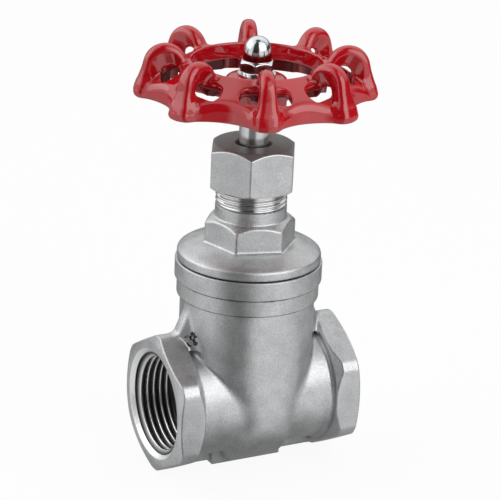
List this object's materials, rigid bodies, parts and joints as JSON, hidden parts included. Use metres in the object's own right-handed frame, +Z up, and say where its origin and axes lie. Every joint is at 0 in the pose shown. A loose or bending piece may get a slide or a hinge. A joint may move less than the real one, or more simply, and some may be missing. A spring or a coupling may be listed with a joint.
{
  "type": "gate valve",
  "caption": "Threaded pipe gate valve in cast stainless steel with a screwed bonnet, a non-rising stem and a lobed red handwheel that lifts an inner wedge gate.",
  "frame": {"origin": "centre of the plane the foot stands on, under the stem axis", "axes": "+X along the pipe towards the outlet, +Z up the stem"},
  "size_m": [0.0732, 0.0732, 0.1432],
  "materials": {
    "cast_stainless": "satin sand-blasted casting",
    "machined_stainless": "turned, fine tool marks",
    "red_enamel": "glossy enamel",
    "chrome_plate": "bright plated",
    "ptfe": "matte"
  },
  "bodies": {
    "housing": {"valve_body": "cast_stainless", "bonnet_gasket": "ptfe", "bonnet": "cast_stainless", "thrust_washer": "machined_stainless", "packing_washer": "machined_stainless", "packing_ring_lower": "ptfe", "packing_ring_middle": "ptfe", "packing_ring_upper": "ptfe", "gland_follower": "machined_stainless", "packing_nut": "cast_stainless"},
    "spindle": {"stem": "machined_stainless", "handwheel": "red_enamel", "wheel_washer": "chrome_plate", "cap_nut": "chrome_plate"},
    "gate": {"gate_wedge": "machined_stainless"}
  },
  "joints": [
    {"name": "handwheel_turn", "type": "hinge", "parent": "housing", "child": "spindle", "pos_m": [0, 0, 0.12], "axis": [0, 0, 1], "range_deg": [0, 3240]},
    {"name": "gate_lift", "type": "slide", "parent": "housing", "child": "gate", "axis": [0, 0, 1], "range_m": [0, 0.027]}
  ],
  "couplings": [
    {"joint": "gate_lift", "follows": "handwheel_turn", "m_per_rad": 0.00047746}
  ]
}
